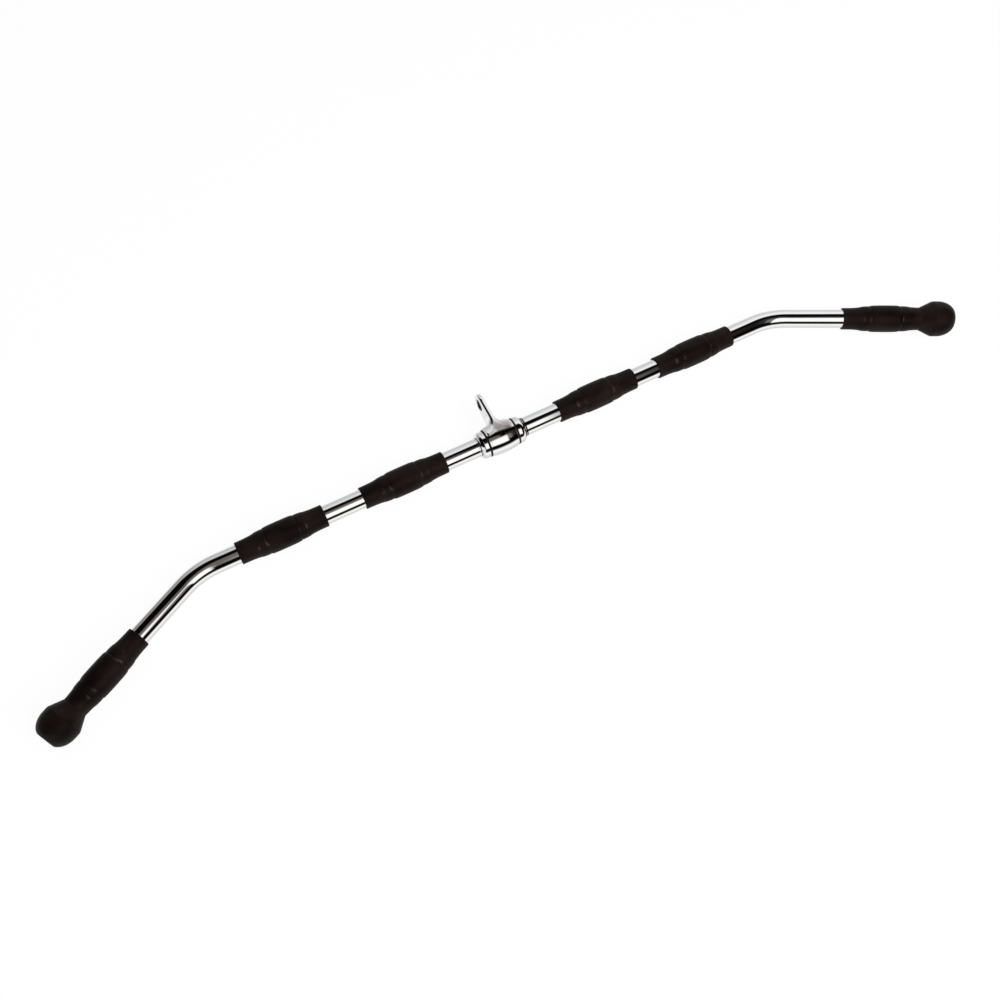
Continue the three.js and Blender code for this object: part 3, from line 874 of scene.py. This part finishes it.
# %% The bender as a tree
def bender_tree():
    nodes = bpy.data.node_groups.new("bender", "GeometryNodeTree")
    kinds = {
        "Straight part": "NodeSocketGeometry",
        "Bend start": "NodeSocketFloat",
        "Bend radius": "NodeSocketFloat",
        "Bend angle": "NodeSocketFloat",
        "Finish": "NodeSocketMaterial",
    }
    tree, given = group_inputs(nodes, kinds)
    start, radius, angle = given["Bend start"], given["Bend radius"], given["Bend angle"]
    place = tree.node("ShaderNodeSeparateXYZ", sockets={0: tree.node("GeometryNodeInputPosition")})
    side = tree.math("SIGN", place)
    distance = tree.math("ABSOLUTE", place)
    beyond = tree.math("MAXIMUM", distance - start, 0.0)
    turn = tree.math("MINIMUM", beyond / radius, angle)
    rest = tree.math("MAXIMUM", beyond - radius * angle, 0.0)
    sine, cosine = tree.math("SINE", turn), tree.math("COSINE", turn)
    line_x = tree.math("MINIMUM", distance, start) + radius * sine + rest * cosine
    line_y = radius * (cosine - 1.0) - rest * sine
    sideways = place.other(1)
    bent = tree.node(
        "ShaderNodeCombineXYZ",
        sockets={0: side * (line_x + sideways * sine), 1: line_y + sideways * cosine, 2: place.other(2)},
    )
    sockets = {"Geometry": given["Straight part"], "Position": bent}
    group_output(tree, tree.node("GeometryNodeSetPosition", sockets=sockets), given["Finish"])
    return nodes


BENDER = bender_tree()
straight = turned("straight_tube", TUBE_OUTLINE, BAR_CHROME, facets=72)
sizes = {"Bend start": BEND_START * MM, "Bend radius": BEND_RADIUS * MM, "Bend angle": BEND_ANGLE}
tube = plain(modified("chromed_tube", straight.data, BENDER, Finish=BAR_CHROME, **sizes))
bpy.data.objects.remove(straight)
dressed(moved(tube, BAR), ["bar_tube"], "bar", "bar_chrome")

# %% [markdown]
# ## The grips
#
# Four equal grips sit on the central run. From the end, a grip is a plain sleeve, then it swells
# in steps that fit between the fingers: a soft rise, a ridge, a shallow groove, then the palm
# swell. The outline is measured from the grip's end, out from its bare end, and mirrored.

# %% The grips of the central run
GRIP_END_R = FIT_R + 1.9
PALM_RISE = 3.5
PALM_R = GRIP_END_R + PALM_RISE
# Along from the grip's end, out from its bare end for that rise of the palm, and the rounding.
SWELL = [
    (13.0, 0.07, 6),
    (20.0, 0.49, 3),
    (24.8, 1.05, 1.6),
    (27.1, 1.75, 1.3),
    (33.0, 2.24, 2.2),
    (36.6, 2.17, 0.8),
    (37.8, 1.96, 0.6),
    (39.5, 2.87, 1.0),
    (43.7, 3.33, 3),
]


def swell(start, base, top):
    """Corners of a swelling outline that rises from base to top."""
    scale = (top - base) / PALM_RISE
    return [(start + along, base + up * scale, size) for along, up, size in SWELL]


def both_ways(half, middle=()):
    """The corners of an outline's left half, of its middle, and of the left half mirrored."""
    return half + list(middle) + [(-along, out, size) for along, out, size in reversed(half)]


half = [(-GRIP_HALF, FIT_R, 0.3), (-GRIP_HALF, GRIP_END_R, 0.9)]
half += swell(-GRIP_HALF, GRIP_END_R, PALM_R)
GRIP_OUTLINE = closed(both_ways(half, [(0, PALM_R, 8)]))
for place in ("outer_left", "inner_left", "inner_right", "outer_right"):
    low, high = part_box(f"grip_{place}")
    grip = turned(f"rubber_grip_{place}", GRIP_OUTLINE, GRIP_RUBBER)
    moved(grip, BAR @ Matrix.Translation(((low.x + high.x) / 2, 0, 0)))
    dressed(grip, [f"grip_{place}"], "bar", "grip_rubber")

# %% [markdown]
# The end grips start with the same swell and close over the tube's end in a bulb, which keeps a
# hand from sliding off. They are turned along the straight end of the tube, measured from the
# bend's corner, and then swung round to the bend's angle. The other side is a mirror image.

# %% The end grips
END_R, NECK_R = FIT_R + 2, FIT_R + 2.6
END_TOP = END_R + 3.7
BULB_END = NECK + 48
POCKET_END = BULB_END - 8.4
FACE_R = 11
# A full curve reaches further out than the facets of the solid, so it ends a little sooner.
BALL_END = BULB_END - 0.35
BALL_STEPS = 14
BALL_POWERS = 2.1, 0.62

ball = []
for step in range(1, BALL_STEPS):
    share = math.sin(math.pi / 2 * step / BALL_STEPS)
    out = FACE_R + (BULB_R - FACE_R) * (1 - share ** BALL_POWERS[0]) ** BALL_POWERS[1]
    ball.append((BAND_END + (BALL_END - BAND_END) * share, out, 0))
last = [(SWELL_END - along, out, size) for along, out, size in swell(0, NECK_R, END_TOP)]
END_OUTLINE = rounded(
    [(POCKET_END, 0, 0), (POCKET_END, FIT_R, 0.3), (END_START, FIT_R, 0.3), (END_START, END_R, 0.9)]
    + swell(END_START, END_R, END_TOP)
    + [((END_START + SWELL_END) / 2, END_TOP, 6)]
    + last[::-1]
    + [(NECK, NECK_R, 2.5), (BULB_START, BULB_R, 2)]
    + ball
    + [(BALL_END, FACE_R - 0.5, 0.6), (BALL_END, 0, 0)]
)
ALONG_END = Matrix.Translation((BEND_APEX * MM, 0, 0)) @ Matrix.Rotation(-BEND_ANGLE, 4, "Z")
for side, mirror in (("left", MIRROR), ("right", Matrix())):
    end_grip = turned(f"rubber_end_grip_{side}", END_OUTLINE, GRIP_RUBBER)
    moved(end_grip, BAR @ mirror @ ALONG_END)
    dressed(end_grip, [f"end_grip_{side}"], "bar", "grip_rubber")

# %% [markdown]
# ## The hanger
#
# The hanger is one casting, polished and chromed: a barrel that revolves on the tube, and a flat
# lug that grows out of it with a generous fillet. The barrel is turned. The lug is drawn as rings
# of points, each a rounded rectangle, stacked from the barrel's middle out to the lug's round tip.
# Near the barrel each ring is thickened so that its sides sweep into the barrel along an arc, and
# the arc follows the barrel's own curve. Then barrel and lug are joined, and the bore and the eye
# are cut through both.

# %% The barrel
BARREL_ROWS = 12
BARREL_SPAN, BARREL_POWER = 0.94, 2.15


def barrel_row(share):
    """A corner of the barrel's outline at a share of the way from its middle to its left end."""
    return -SLEEVE_HALF * share * BARREL_SPAN, SLEEVE_END_R + BARREL_RISE * (1 - share**BARREL_POWER), 0


half = [(-SLEEVE_HALF, 0, 0), (-SLEEVE_HALF, SLEEVE_END_R, 0.5)]
half += [barrel_row(step / BARREL_ROWS) for step in range(BARREL_ROWS, 0, -1)]
BARREL_OUTLINE = rounded(both_ways(half, [(0, SLEEVE_R, 0)]))
hanger = turned("revolving_hanger", BARREL_OUTLINE, HANGER_CHROME, facets=120)
print("barrel:", round(2 * SLEEVE_R, 1), "mm across")

# %% The lug
LUG_THICKNESS, LUG_OFFSET = 7, -1.2
LUG_EDGE, LUG_FILLET = 3.1, 14
LUG_ROOT_HALF_WIDTH = 20.7
FOOT_SINK = 0.25
FLAT_SHARE = 0.3
CORNER_STEPS, FLAT_STEPS, TIP_STEPS = 7, 14, 30
# Rings of the straight part, by their distance from the hub's axis, close where the fillet sweeps.
RING_PLACES = [2, 5] + [7 + 0.75 * step for step in range(38)] + [38, 41, 45, 49, EYE_PLACE]


def lug_ring(out, half_width):
    """Points (x, out, z) round the lug at one distance from the hub's axis."""
    past = max(out - EYE_PLACE, 0)
    wide = LUG_HALF_WIDTH if past else half_width
    inner = math.sqrt(max((wide - LUG_EDGE) ** 2 - past**2, 0))
    flat = max(inner, FLAT_SHARE * half_width)
    places = [flat * (2 * step / FLAT_STEPS - 1) for step in range(FLAT_STEPS + 1)]
    corner = [math.pi / 2 * step / CORNER_STEPS for step in range(1, CORNER_STEPS + 1)]
    places += [flat + (half_width - flat) * math.sin(turn) for turn in corner]
    ring = []
    for way in (1, -1):
        for along in places:
            to_edge = max(wide - math.hypot(past, along), 0)
            inward = max(LUG_EDGE - to_edge, 0)
            drop = LUG_EDGE - math.sqrt(LUG_EDGE**2 - inward**2)
            surface = math.sqrt(SLEEVE_R**2 - min(abs(along), SLEEVE_R - 1) ** 2)
            rise = min(max(surface + LUG_FILLET - FOOT_SINK - out, 0), LUG_FILLET)
            flare = LUG_FILLET - math.sqrt(LUG_FILLET**2 - rise**2)
            ring.append((LUG_OFFSET + way * (LUG_THICKNESS / 2 - drop + flare), out, way * along))
        ring += [(2 * LUG_OFFSET - x, y, z) for x, y, z in reversed(ring[-CORNER_STEPS:])]
    return ring


def lug_rings():
    """All rings, from inside the barrel to the tip."""
    rings = []
    for out in RING_PLACES:
        taper = (LUG_HALF_WIDTH - LUG_ROOT_HALF_WIDTH) * out / EYE_PLACE
        rings.append(lug_ring(out, LUG_ROOT_HALF_WIDTH + taper))
    for step in range(1, TIP_STEPS):
        turn = math.pi / 2 * step / TIP_STEPS
        rings.append(lug_ring(EYE_PLACE + LUG_HALF_WIDTH * math.sin(turn), LUG_HALF_WIDTH * math.cos(turn)))
    return rings


def skin(name, rings, look):
    """A closed shell through rings of points, with a fan of faces over each end."""
    shell = bmesh.new()
    loops = [[shell.verts.new(Vector(point) * MM) for point in ring] for ring in rings]
    for lower, upper in zip(loops, loops[1:]):
        for number in range(len(lower)):
            nxt = (number + 1) % len(lower)
            shell.faces.new((lower[number], lower[nxt], upper[nxt], upper[number]))
    for loop in (loops[0], loops[-1]):
        middle = shell.verts.new(sum((v.co for v in loop), Vector()) / len(loop))
        for number in range(len(loop)):
            shell.faces.new((loop[number], loop[(number + 1) % len(loop)], middle))
    bmesh.ops.remove_doubles(shell, verts=shell.verts, dist=SKIN_JOIN)
    bmesh.ops.recalc_face_normals(shell, faces=shell.faces)
    made = built(name, shell)
    made.data.materials.append(look)
    return made


lug = skin("lug", lug_rings(), HANGER_CHROME)
print("lug:", len(lug.data.polygons), "faces")

# %% Joining and boring
BUSH_DEPTH = 14.3
BORE_HALF = SLEEVE_HALF + 0.8
EYE_ROUNDING = 0.8
EYE_TOOL_HALF, EYE_TOOL_R = 10, EYE_R + 3

seat = SLEEVE_HALF - BUSH_DEPTH
BORE_OUTLINE = rounded(
    both_ways([(-BORE_HALF, 0, 0), (-BORE_HALF, SEAT_R, 0), (-seat, SEAT_R, 0), (-seat, FIT_R, 0)])
)
face = LUG_THICKNESS / 2
half = [(-EYE_TOOL_HALF, 0, 0), (-EYE_TOOL_HALF, EYE_TOOL_R, 0)]
half += [(-face, EYE_R + EYE_ROUNDING, 0.6), (EYE_ROUNDING - face, EYE_R, 0.8)]
EYE_OUTLINE = rounded(both_ways(half))
cut(hanger, lug, "UNION")
cut(hanger, turned("bore", BORE_OUTLINE, HANGER_CHROME, facets=120))
at_eye = Matrix.Translation(Vector((LUG_OFFSET, EYE_PLACE, 0)) * MM)
cut(hanger, moved(turned("eye", EYE_OUTLINE, HANGER_CHROME, facets=72), at_eye))
dressed(moved(hanger, HANGER), ["hanger_sleeve"], "hanger", "hanger_chrome")

# %% [markdown]
# ## Collars, washers and rings
#
# On each side of the hanger there is a thin black washer that it rubs on, then a domed collar held
# by a grub screw, and a spring ring in a groove of the tube as a second stop. The collar is plain
# for half its length and then domed, with a faint edge between: the reflections in the photograph
# break there. Its screw sits underneath, out of the hand's way, with a hex socket.

# %% Outlines of the stack
WASHER_R = FIT_R + 5.2
COLLAR_BAND = COLLAR_START + 5.2
COLLAR_R, NOSE_R = FIT_R + 5.5, FIT_R + 1.3
DOME_FROM, DOME_STEPS = 15, 12
RING_DEPTH, RING_GAP, GAP_TOOL = 0.7, 4, 6
SCREW_PLACE = COLLAR_START + COLLAR_LENGTH * 0.42
SCREW_R, SCREW_TOP = 2.5, FIT_R + 3.6
SOCKET_R, SOCKET_DEPTH = 1.44, 1.8
OVERRUN = 1


def hoop(start, end, inner, outer, inner_size, outer_size):
    """The outline of a plain ring, with the roundings of its inner and of its outer edges."""
    corners = [(start, inner, inner_size), (start, outer, outer_size)]
    return closed(corners + [(end, outer, outer_size), (end, inner, inner_size)])


def drill(start, end, radius):
    """The outline of a plain cylinder."""
    return [Vector(corner) for corner in ((start, 0), (start, radius), (end, radius), (end, 0))]


dome = []
base = math.sin(math.radians(DOME_FROM))
for step in range(1, DOME_STEPS + 1):
    turn = math.radians(DOME_FROM + (90 - DOME_FROM) * step / DOME_STEPS)
    along = (math.sin(turn) - base) / (1 - base)
    out = math.cos(turn) / math.cos(math.radians(DOME_FROM))
    dome.append((COLLAR_BAND + (COLLAR_END - COLLAR_BAND) * along, NOSE_R + (COLLAR_R - NOSE_R) * out, 0))
COLLAR_OUTLINE = closed(
    [(COLLAR_START, FIT_R, 0.3), (COLLAR_START, COLLAR_R, 0.4), (COLLAR_BAND, COLLAR_R, 0.3)]
    + dome
    + [(COLLAR_END, FIT_R, 0.3)]
)
HOLE_OUTLINE = drill(TUBE_R, COLLAR_R + OVERRUN, SCREW_R + GAP)
WASHER_OUTLINE = hoop(WASHER_START, WASHER_END, FIT_R, WASHER_R, 0.15, 0.3)
RING_OUTLINE = hoop(RING_START, RING_END, TUBE_R - RING_DEPTH, TUBE_R + RING_DEPTH, 0.2, 0.35)
SCREW_OUTLINE = rounded(
    [(FIT_R, 0, 0), (FIT_R, SCREW_R, 0.5), (SCREW_TOP, SCREW_R, 0.4), (SCREW_TOP, 0, 0)]
)
SOCKET_OUTLINE = drill(SCREW_TOP - SOCKET_DEPTH, SCREW_TOP + OVERRUN, SOCKET_R)
DOWN = Matrix.Translation((SCREW_PLACE * MM, 0, 0)) @ Matrix.Rotation(math.pi / 2, 4, "Y")
print("the stack ends", round(RING_END, 1), "mm from the middle")


# %% Both stacks
def block(name, middle, size):
    """A box-shaped tool for a cut, its middle and size in millimetres."""
    shell = bmesh.new()
    place = Matrix.Translation(Vector(middle) * MM)
    bmesh.ops.create_cube(shell, size=1, matrix=place @ Matrix.Diagonal((*[v * MM for v in size], 1)))
    return built(name, shell)


def thrust_washer(side, place):
    washer = turned(f"nylon_washer_{side}", WASHER_OUTLINE, NYLON, facets=96)
    dressed(moved(washer, place), [f"thrust_washer_{side}"], "bar", "washer_nylon")


def stop_collar(side, place):
    collar = turned(f"domed_collar_{side}", COLLAR_OUTLINE, CAST_CHROME, facets=96)
    cut(collar, moved(turned("hole", HOLE_OUTLINE, CAST_CHROME, facets=32), DOWN))
    dressed(moved(collar, place), [f"stop_collar_{side}"], "bar", "hanger_chrome")


def collar_screw(side, place):
    screw = turned(f"grub_screw_{side}", SCREW_OUTLINE, BLACK_STEEL, facets=32)
    cut(screw, turned("socket", SOCKET_OUTLINE, BLACK_STEEL, facets=6))
    dressed(moved(screw, place @ DOWN), [f"collar_screw_{side}"], "bar", "screw_steel")


def retaining_ring(side, place):
    spring = turned(f"spring_ring_{side}", RING_OUTLINE, CAST_CHROME, facets=96)
    cut(spring, block("gap", (RING_START, 0, -TUBE_R), (GAP_TOOL, RING_GAP, GAP_TOOL)))
    dressed(moved(spring, place), [f"retaining_ring_{side}"], "bar", "hanger_chrome")


for side, mirror in (("left", MIRROR), ("right", Matrix())):
    for part in (thrust_washer, stop_collar, collar_screw, retaining_ring):
        part(side, BAR @ mirror)

# %% [markdown]
# ## What stays as it is
#
# The bushes inside the sleeve and the plugs inside the bulbs don't show when the bar is whole, and
# their solids have the right shape, so they only get their finish.

# %% Finishes of the hidden solids
for name, look in (("sleeve_bush", BRONZE), ("end_plug", NYLON)):
    for side in ("left", "right"):
        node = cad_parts[f"{name}_{side}"]
        node.data.materials.clear()
        node.data.materials.append(look)
        print(node.name, "gets", look.name)
